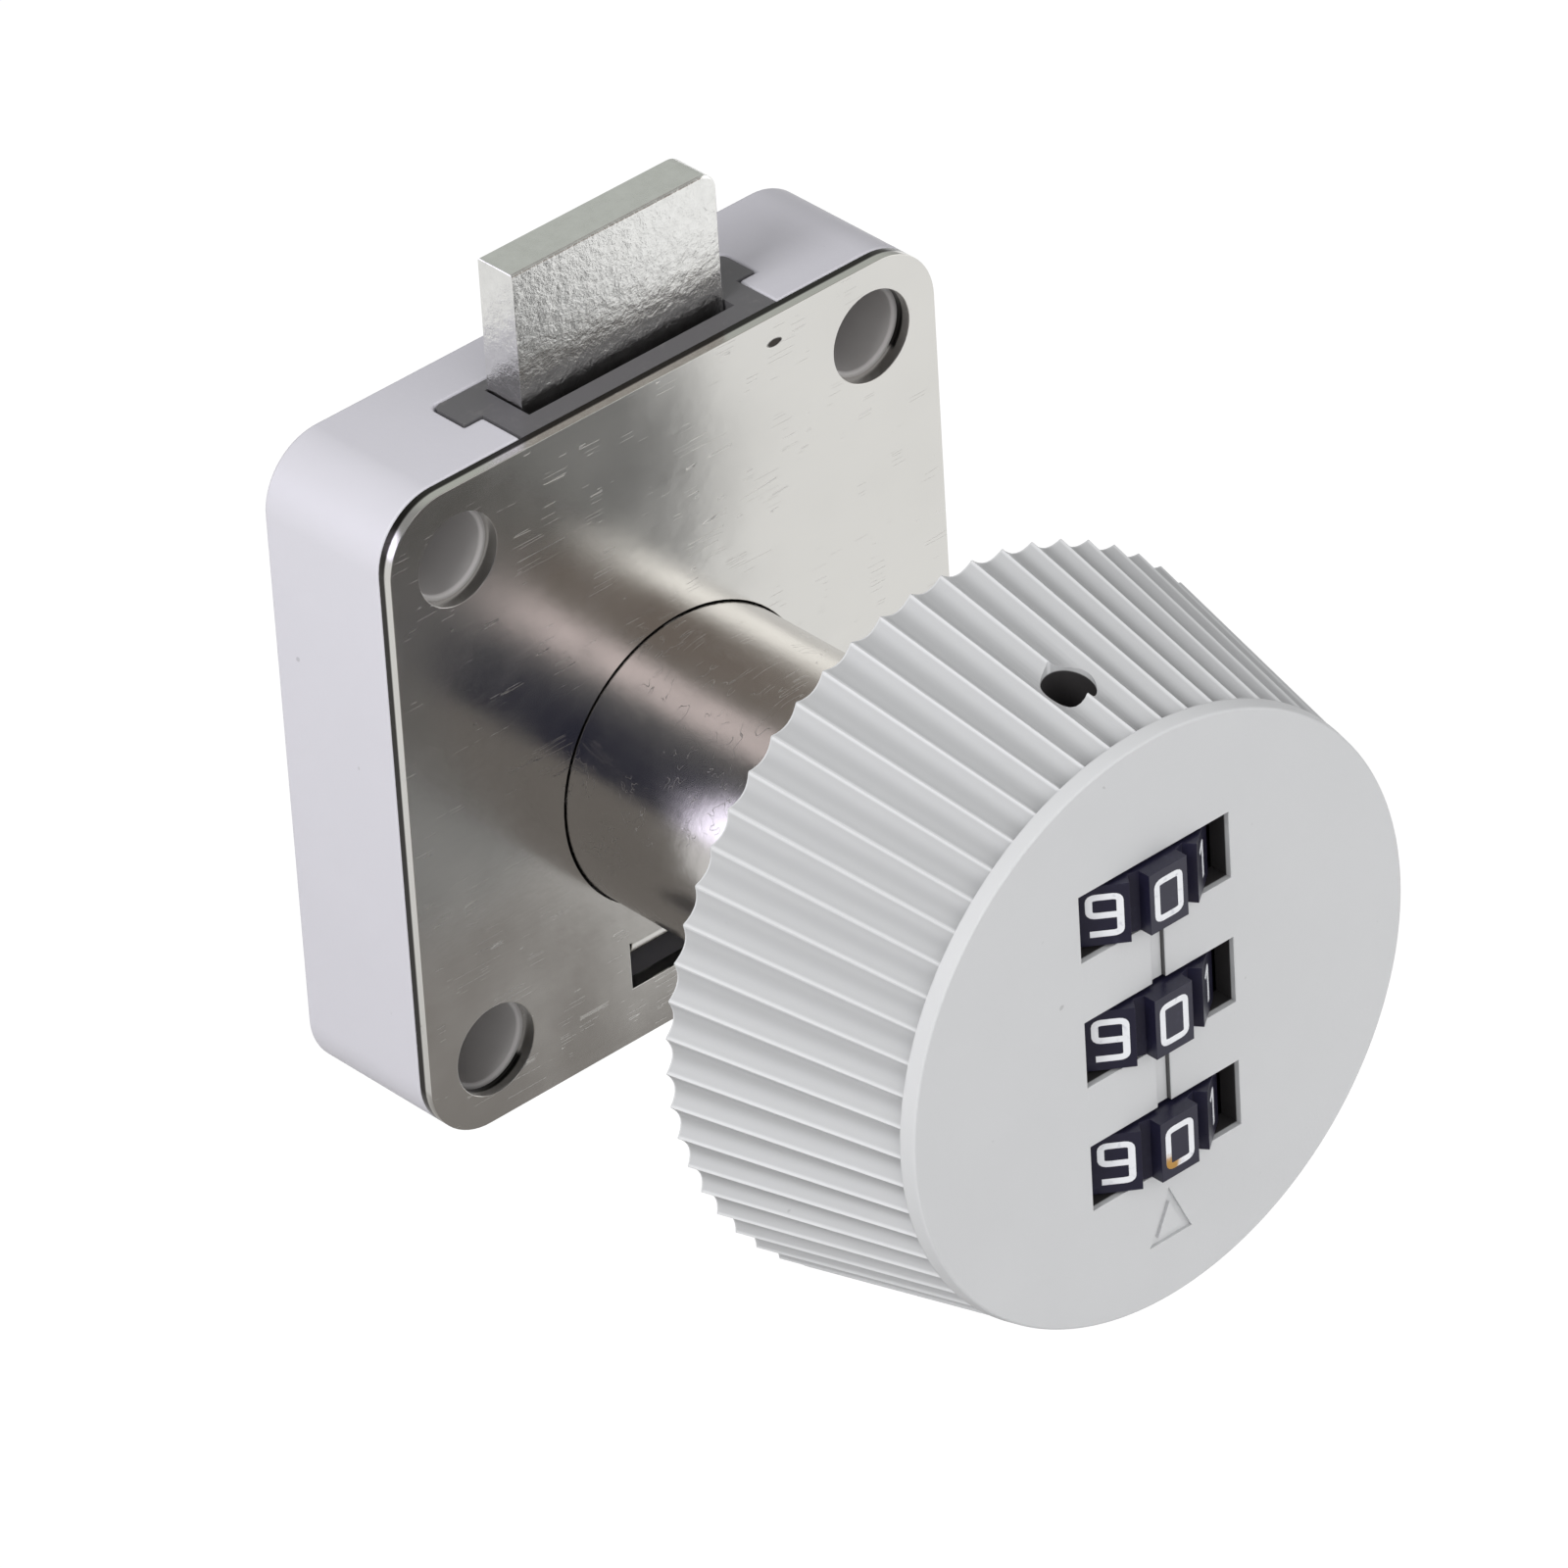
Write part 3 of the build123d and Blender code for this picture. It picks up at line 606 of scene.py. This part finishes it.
def shape_ring(piece, radius_of_step):
    """Brings the points of the selected ring to their radii, one kind of point at a time."""
    done()
    ring = {vertex.index for vertex in piece.data.vertices if vertex.select}
    for step in range(steps):
        choose(piece, lambda vertex: vertex.index in ring and step_of(vertex) == step)
        done()
        point = next(vertex.co.copy() for vertex in piece.data.vertices if vertex.select)
        scale = radius_of_step(step) / round_axis(point).length
        bpy.ops.object.mode_set(mode="EDIT")
        bpy.ops.transform.resize(value=(scale, 1, scale), center_override=(0, point.y, 0))
    choose(piece, lambda vertex: vertex.index in ring)


def extrude_along(shift):
    """Extrudes what is selected along y."""
    bpy.ops.mesh.extrude_region_move(TRANSFORM_OT_translate={"value": (0, shift, 0)})


bpy.ops.object.select_all(action="DESELECT")
bpy.ops.mesh.primitive_circle_add(
    vertices=ribs * steps, radius=knob_back_radius, location=(0, knob_back, 0), rotation=(pi / 2, 0, 0)
)
knob = bpy.context.object
bpy.ops.object.transform_apply(location=True, rotation=True, scale=True)
choose(knob, lambda vertex: True)
shape_ring(knob, lambda step: flute_radius(step, knob_back_radius, back_depth))
extrude_along(flute_end - knob_back)
shape_ring(knob, lambda step: flute_radius(step, ring_radius - ring_step, front_depth))
print(f"{ribs} flutes of {steps} points")

# %% The rim, the face and the inside of the knob
cavity_radius = 16.0 * mm
face_wall = 1.56 * mm

extrude_along(0)
shape_ring(knob, lambda step: ring_radius)
extrude_along(knob_face - flute_end)
shape_ring(knob, lambda step: knob_face_radius)
bpy.ops.mesh.edge_face_add()
choose(knob, lambda vertex: abs(vertex.co.y - knob_back) < 0.001 * mm)
extrude_along(0)
shape_ring(knob, lambda step: cavity_radius)
extrude_along(knob_face + face_wall - knob_back)
bpy.ops.mesh.edge_face_add()
edit_all()
bpy.ops.mesh.normals_make_consistent(inside=False)
done()
print(f"{len(knob.data.polygons)} faces in the closed shell")

# %% [markdown]
# The windows, the channel between them, the arrow and the reset hole are cut with plain cutters, and the
# posts inside are added the same way. Each cutter has its own Boolean: where joined cutters overlap, the
# solver can take the inside for the outside and throw the knob away.

# %% Cutters
arrow_tip = -10.9 * mm
arrow_base = -14.2 * mm
arrow_half_width = 1.55 * mm
arrow_line = 0.4 * mm
arrow_depth = 0.2 * mm
spare = 1.0 * mm                   # how far a cutter goes past what it cuts


def unmove():
    """Puts the new object's place, turn and size into its mesh."""
    bpy.ops.object.transform_apply(location=True, rotation=True, scale=True)
    return bpy.context.object


def block(middle, size):
    bpy.ops.object.select_all(action="DESELECT")
    bpy.ops.mesh.primitive_cube_add(size=1, location=middle, scale=size)
    return unmove()


def upright_rod(middle, radius, length):
    bpy.ops.object.select_all(action="DESELECT")
    bpy.ops.mesh.primitive_cylinder_add(vertices=48, radius=radius, depth=length, location=middle)
    return unmove()


def combine(piece, other, operation):
    """Cuts or adds another mesh, which is then gone."""
    apply(piece, "BOOLEAN", object=other, operation=operation, solver="EXACT")
    bpy.data.objects.remove(other)


def arrow_cutter():
    """A prism over the outline of the arrow: a triangle whose border is extruded."""
    height = arrow_tip - arrow_base
    side = (arrow_half_width**2 + height**2) ** 0.5
    inner_radius = arrow_half_width * height / (arrow_half_width + side)
    middle = Vector((0, knob_face - spare, arrow_base + inner_radius))
    bpy.ops.object.select_all(action="DESELECT")
    bpy.ops.mesh.primitive_circle_add(vertices=3, radius=1, fill_type="NOTHING", rotation=(pi / 2, 0, 0))
    arrow = unmove()
    low = min(vertex.co.z for vertex in arrow.data.vertices)
    high = max(vertex.co.z for vertex in arrow.data.vertices)
    wide = max(vertex.co.x for vertex in arrow.data.vertices)
    scale = (arrow_half_width / wide, 1, height / (high - low))
    edit_all()
    bpy.ops.transform.resize(value=scale, center_override=(0, 0, 0))
    bpy.ops.transform.translate(value=(0, middle.y, arrow_base - low * height / (high - low)))
    extrude_along(0)
    inner = 1 - arrow_line / inner_radius
    bpy.ops.transform.resize(value=(inner, 1, inner), center_override=middle)
    bpy.ops.mesh.select_all(action="SELECT")
    extrude_along(spare + arrow_depth)
    bpy.ops.mesh.select_all(action="SELECT")
    bpy.ops.mesh.normals_make_consistent(inside=False)
    done()
    return arrow


print("cutters ready")

# %% Posts, windows, channel, reset hole and arrow
dial_pitch = 8.05 * mm
dial_middle = 0.55 * mm
dial_heights = [dial_middle - dial_pitch, dial_middle, dial_middle + dial_pitch]
window_width = 11.0 * mm
window_height = 4.2 * mm
channel_depth = 0.3 * mm
post_x = 13.3 * mm
post_width = 4.8 * mm
post_tip_width = 2.2 * mm
post_root = knob_face + face_wall - 0.3 * mm
cover_front = knob_back - 1.2 * mm
frame_front = cover_front - 1.1 * mm
reset_hole_radius = 1.5 * mm
reset_hole_y = knob_back - 9.65 * mm
reset_hole_middle = (0, reset_hole_y, knob_back_radius - 3 * mm)
reset_hole_length = 8 * mm

for side in (-1, 1):
    for width, top in ((post_width, frame_front), (post_tip_width, cover_front)):
        middle = (side * post_x, (post_root + top) / 2, 0)
        combine(knob, block(middle, (width, top - post_root, width)), "UNION")
for height in dial_heights:
    middle = (0, knob_face + face_wall / 2, height)
    combine(knob, block(middle, (window_width, face_wall + 2 * spare, window_height)), "DIFFERENCE")
for low, high in zip(dial_heights, dial_heights[1:]):
    middle = (0, knob_face + channel_depth - spare, (low + high) / 2)
    length = high - low - window_height + 0.2 * mm      # it runs a little into both windows
    combine(knob, block(middle, (channel_width, 2 * spare, length)), "DIFFERENCE")
combine(knob, upright_rod(reset_hole_middle, reset_hole_radius, reset_hole_length), "DIFFERENCE")
combine(knob, arrow_cutter(), "DIFFERENCE")
print(f"{len(knob.data.polygons)} faces after the cuts")

# %% [markdown]
# Only the edges that a finger meets are rounded: the crests, the rim of the face and the windows. They are
# chosen by place, and one bevel is run on each group.

# %% Rounding the knob's edges
def bevel_where(piece, test, radius, segments):
    """Bevels the edges whose two points both pass the test."""
    bpy.ops.object.mode_set(mode="EDIT")
    bpy.ops.mesh.select_mode(type="EDGE")
    bpy.ops.mesh.select_all(action="DESELECT")
    done()
    passes = [test(vertex.co) for vertex in piece.data.vertices]
    count = 0
    for edge in piece.data.edges:
        edge.select = passes[edge.vertices[0]] and passes[edge.vertices[1]]
        count += edge.select
    bpy.ops.object.mode_set(mode="EDIT")
    bpy.ops.mesh.bevel(offset=radius, segments=segments, affect="EDGES", clamp_overlap=True)
    done()
    print(f"{count} edges rounded by {radius / mm:.2f} mm")


def near(value, target):
    return abs(value - target) < 0.004 * mm


def within(value, limit):
    return abs(value) < limit + 0.01 * mm


def on_window(point):
    from_middle = abs(point.x)
    from_dials = [abs(point.z - height) for height in dial_heights]
    beside = near(from_middle, window_width / 2) and any(within(gap, window_height / 2) for gap in from_dials)
    above = within(from_middle, window_width / 2) and any(near(gap, window_height / 2) for gap in from_dials)
    return near(point.y, knob_face) and (beside or above)


def on_rim(point):
    return near(point.y, knob_face) and near(round_axis(point).length, knob_face_radius)


def on_crest(point):
    flutes = flutes_round(point)
    below_rim = round_axis(point).length > knob_face_radius + 0.1 * mm
    return abs(flutes - round(flutes)) < 0.01 and below_rim


pick(knob)
bevel_where(knob, on_crest, 0.06 * mm, 2)
bevel_where(knob, on_rim, 0.14 * mm, 3)
bevel_where(knob, on_window, 0.05 * mm, 2)
settle(knob, "knob_casting", knob_grey, "knob_shell")

# %% [markdown]
# Each dial is a black wheel with ten pads, and each pad has a painted number. The wheel is a rounded copy.
# A number is drawn as strokes, the way a stencil or an engraver's pen makes it: a curve with a round bevel,
# pressed nearly flat on the pad. Numbers from 0 to 9 share one small grid, one unit wide and two high.

# %% Numbers
digit_width = 2.15 * mm
digit_height = 2.80 * mm
stroke = 0.47 * mm
relief = 0.03 * mm
corner = 0.5                       # how far from a corner a stroke starts to turn, in units of the grid
strokes = {
    0: [((0, 0), (1, 0), (1, 2), (0, 2), (0, 0))],
    1: [((0.15, 1.6), (0.55, 2), (0.55, 0))],
    2: [((0, 2), (1, 2), (1, 1), (0, 1), (0, 0), (1, 0))],
    3: [((0, 2), (1, 2), (1, 0), (0, 0)), ((0.25, 1), (1, 1))],
    4: [((0, 2), (0, 0.8), (1, 0.8)), ((0.8, 1.6), (0.8, 0))],
    5: [((1, 2), (0, 2), (0, 1), (1, 1), (1, 0), (0, 0))],
    6: [((1, 2), (0, 2), (0, 0), (1, 0), (1, 1), (0, 1))],
    7: [((0, 2), (1, 2), (0.45, 0))],
    8: [((0, 0), (1, 0), (1, 2), (0, 2), (0, 0)), ((0, 1), (1, 1))],
    9: [((0, 0), (1, 0), (1, 2), (0, 2), (0, 1), (1, 1))],
}


def rounded_path(corners, closed):
    """The corners of a stroke, each with a point before and after it where the stroke turns."""
    path = []
    for index, here in enumerate(corners):
        if closed or 0 < index < len(corners) - 1:
            before = corners[index - 1]
            after = corners[(index + 1) % len(corners)]
            path.append(here + (before - here).normalized() * corner)
            path.append(here)
            path.append(here + (after - here).normalized() * corner)
        else:
            path.append(here)
    return path


def digit(number):
    """The strokes of one number as a flat mesh in the xz plane, round its own middle."""
    bpy.ops.object.select_all(action="DESELECT")
    data = bpy.data.curves.new("digit", "CURVE")
    data.dimensions = "3D"
    data.bevel_depth = stroke / 2
    data.bevel_resolution = 2
    data.resolution_u = 4
    data.use_fill_caps = True
    for points in strokes[number]:
        closed = points[0] == points[-1]
        corners = [Vector(point) for point in (points[:-1] if closed else points)]
        path = rounded_path(corners, closed)
        spline = data.splines.new("NURBS")
        spline.points.add(len(path) - 1)
        for point, place in zip(spline.points, path):
            across = (place.x - 0.5) * (digit_width - stroke)
            up = (place.y - 1) * (digit_height - stroke) / 2
            point.co = (across, 0, up, 1)
        spline.order_u = 3
        spline.use_cyclic_u = closed
        spline.use_endpoint_u = not closed
    piece = bpy.data.objects.new("digit", data)
    bpy.context.collection.objects.link(piece)
    pick(piece)
    bpy.ops.object.convert(target="MESH")
    edit_all()
    bpy.ops.transform.resize(value=(1, relief / stroke, 1), center_override=(0, 0, 0))
    done()
    return bpy.context.object


print(f"{len(strokes)} numbers, {digit_height / mm:.1f} mm high")

# %% [markdown]
# The paint of the numbers is a little thin in places, and the lowest 0 has a brown stain at its foot.

# %% White paint
def painted_white(name, stain_at=None):
    finish = Finish(name, Metallic=0.0)
    thin = finish.above(finish.noise(0.4 * mm, detail=4.0), 0.58, 0.78)
    colour = finish.mix(thin * 0.5, (0.80, 0.81, 0.84), (0.42, 0.43, 0.50))
    if stain_at:
        away_from = finish.vector("DISTANCE", finish.place(), stain_at)
        ragged = away_from + finish.noise(0.5 * mm, detail=3.0) * (0.8 * mm)
        colour = finish.mix(finish.below(ragged, 0.7 * mm, 1.3 * mm), colour, (0.45, 0.24, 0.05))
    finish.varies("Base Color", colour)
    finish.varies("Roughness", thin * 0.2 + 0.4)
    finish.varies("Normal", finish.bump(thin, 0.008 * mm))
    return finish.material


pad_radius = 6.1 * mm
dial_axis_y = -32.4 * mm
stain_place = (-0.75 * mm, dial_axis_y - pad_radius, dial_heights[0] - 1.0 * mm)
digit_white = painted_white("digit_white")
digit_stained = painted_white("digit_white_stained", stain_place)
print(digit_white.name, digit_stained.name)

# %% [markdown]
# The numbers of a dial are drawn round the z axis first, each turned to its pad, and joined into one mesh.
# Only then do they move to the dial's own axis.

# %% Dials
pad_count = 10


def numbers_round(height):
    """The ten numbers of a dial at this height, as one mesh round the z axis."""
    numbers = []
    for number in range(pad_count):
        piece = digit(number)
        edit_all()
        bpy.ops.transform.translate(value=(0, -pad_radius + relief * 0.2, height))
        done()
        piece.rotation_euler = (0, 0, number * 2 * pi / pad_count)
        pick(piece)
        numbers.append(unmove())
    bpy.ops.object.select_all(action="DESELECT")
    for piece in numbers:
        piece.select_set(True)
    bpy.context.view_layer.objects.active = numbers[0]
    bpy.ops.object.join()
    return numbers[0]


for name, height in zip(("bottom", "middle", "top"), dial_heights):
    rounded_copy(f"dial_wheel_{name}", f"dial_{name}_moulding", dial_black, 0.26 * mm, 4)
    paint = numbers_round(height)
    edit_all()
    bpy.ops.transform.translate(value=(0, dial_axis_y, 0))
    done()
    bpy.ops.object.shade_smooth_by_angle(angle=smooth_angle)
    paint.name = f"dial_{name}_numbers"
    paint.data.materials.clear()
    paint.data.materials.append(digit_stained if name == "bottom" else digit_white)
    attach(paint, f"dial_{name}")
    print(f"{paint.name}: {len(paint.data.polygons)} faces")

# %% [markdown]
# The studio is white all round, but nickel shows nothing unless the room has light and dark in it. So the
# world is drawn as a few soft lamps and dark patches for reflected rays, plain white for the camera, and a
# light from the front for all that is matt.

# %% World
def direction(azimuth, elevation):
    """A unit vector: azimuth degrees to the right of straight behind the object, and elevation degrees up."""
    turn, rise = radians(azimuth), radians(elevation)
    return (sin(turn) * cos(rise), cos(turn) * cos(rise), sin(rise))


world = bpy.data.worlds.new("studio")
bpy.context.scene.world = world
world.use_nodes = True
room = Graph(world.node_tree)
looking = room.node("ShaderNodeTexCoord", output="Generated")


def lobe(azimuth, elevation, width):
    """1 towards a direction, falling softly to 0 at this many degrees from it."""
    towards = room.vector("DOT_PRODUCT", looking, direction(azimuth, elevation))
    return room.above(towards, cos(radians(width)), 1.0)


def painted_room(start, patches):
    """A tone for every direction: a start tone under soft patches of azimuth, elevation, width and tone."""
    tone = start
    for azimuth, elevation, width, patch_tone in patches:
        tone = room.mix(lobe(azimuth, elevation, width), tone, patch_tone)
    return tone


mirrored = painted_room((0.34, 0.34, 0.34), [
    (122, 2, 50, (1.75, 1.75, 1.73)),       # window beside the knob, which the barrel mirrors at its right
    (41, 40, 45, (0.52, 0.54, 0.51)),       # wall behind, which the tops mirror
    (147, 42, 34, (0.28, 0.243, 0.22)),     # dark wall, above the window
    (-48, 12, 24, (2.2, 2.1, 2.5)),         # lamp behind the left edge, a glint on the barrel
    (-163, 48, 15, (1.30, 1.15, 1.18)),     # lamp above the front, a streak on the barrel and the plate
    (-130, 8, 50, (0.03, 0.032, 0.06)),     # dark room at the left, blue in the barrel
])
on_matt = painted_room((0.40, 0.40, 0.40), [
    (180, 0, 100, (1.76, 1.76, 1.76)),      # bright in front
    (0, 0, 85, (0.05, 0.05, 0.05)),         # dark behind
    (0, 90, 60, (0.30, 0.30, 0.30)),        # dark overhead
])
glossy = room.node("ShaderNodeLightPath", output="Is Glossy Ray")
seen = room.node("ShaderNodeLightPath", output="Is Camera Ray")
tone = room.mix(seen, room.mix(glossy, on_matt, mirrored), (1.0, 1.0, 1.0))
background = world.node_tree.nodes["Background"]
world.node_tree.links.new(tone.socket, background.inputs["Color"])
print("world ready")

# %% [markdown]
# One soft lamp stands high at the left and gives the grip and the edges their shade. Reflected rays pass it
# by, because the nickel already mirrors the world's own lamps.

# %% Lamp
lamp_distance = 0.24
lamp_place = Vector(direction(-100, 42)) * lamp_distance
bpy.ops.object.light_add(type="AREA", location=lamp_place)
lamp = bpy.context.object
lamp.name = "key"
lamp.rotation_mode = "QUATERNION"
lamp.rotation_quaternion = (-lamp_place).to_track_quat("-Z", "Y")
lamp.data.size = 0.10
lamp.data.energy = 0.31
lamp.visible_glossy = False
print(f"{lamp.name} at {lamp_distance} m, {lamp.data.energy:.2f} W")

# %% [markdown]
# The floor is three things at once. To the camera it is nearly pure white and keeps only a faint shadow. To
# the nickel it is a glow that is dark at the left and bright at the right, behind the case and under the
# knob. To everything else it is plain matt white. It lies well below, where its shadow stays soft.

# %% Floor
floor_z = -66 * mm
floor_size = 4.0
white_share = 0.85                 # of the white glow that the camera sees, the rest holds the shadow
bpy.ops.object.select_all(action="DESELECT")
bpy.ops.mesh.primitive_plane_add(size=floor_size, location=(0, 0, floor_z))
floor = bpy.context.object
floor.name = "floor"
white = Finish("floor_white", Roughness=0.8, Base_Color=(0.85, 0.85, 0.85, 1))
lit = Wire(white, white.shader.outputs[0])
to_the_right, to_the_back = white.axes()[:2]
beside_knob = white.above(to_the_right, 40 * mm, 69 * mm)
behind_case = white.above(to_the_back, 20 * mm, 80 * mm) * 0.8
under_knob = white.above(to_the_right, 24 * mm, 34 * mm) * white.above(to_the_back, -50 * mm, -36 * mm)
bright = white.maths("MAXIMUM", white.maths("MAXIMUM", beside_knob, behind_case), under_knob)
mirrored_floor = white.mix(bright, (0.27, 0.255, 0.245), (1.0, 1.0, 1.0))
mirrored_glow = white.node("ShaderNodeEmission", sockets={"Color": mirrored_floor})
white_glow = white.node("ShaderNodeEmission", sockets={"Color": (1, 1, 1, 1), "Strength": 1.12})
seen_floor = white.node("ShaderNodeLightPath", output="Is Camera Ray")
glossy_floor = white.node("ShaderNodeLightPath", output="Is Glossy Ray")
blend = white.node("ShaderNodeMixShader", sockets={0: glossy_floor, 1: lit, 2: mirrored_glow})
blend = white.node("ShaderNodeMixShader", sockets={0: seen_floor * white_share, 1: blend, 2: white_glow})
out = white.tree.nodes["Material Output"]
white.tree.links.new(blend.socket, out.inputs["Surface"])
floor.data.materials.append(white.material)
print("floor ready")
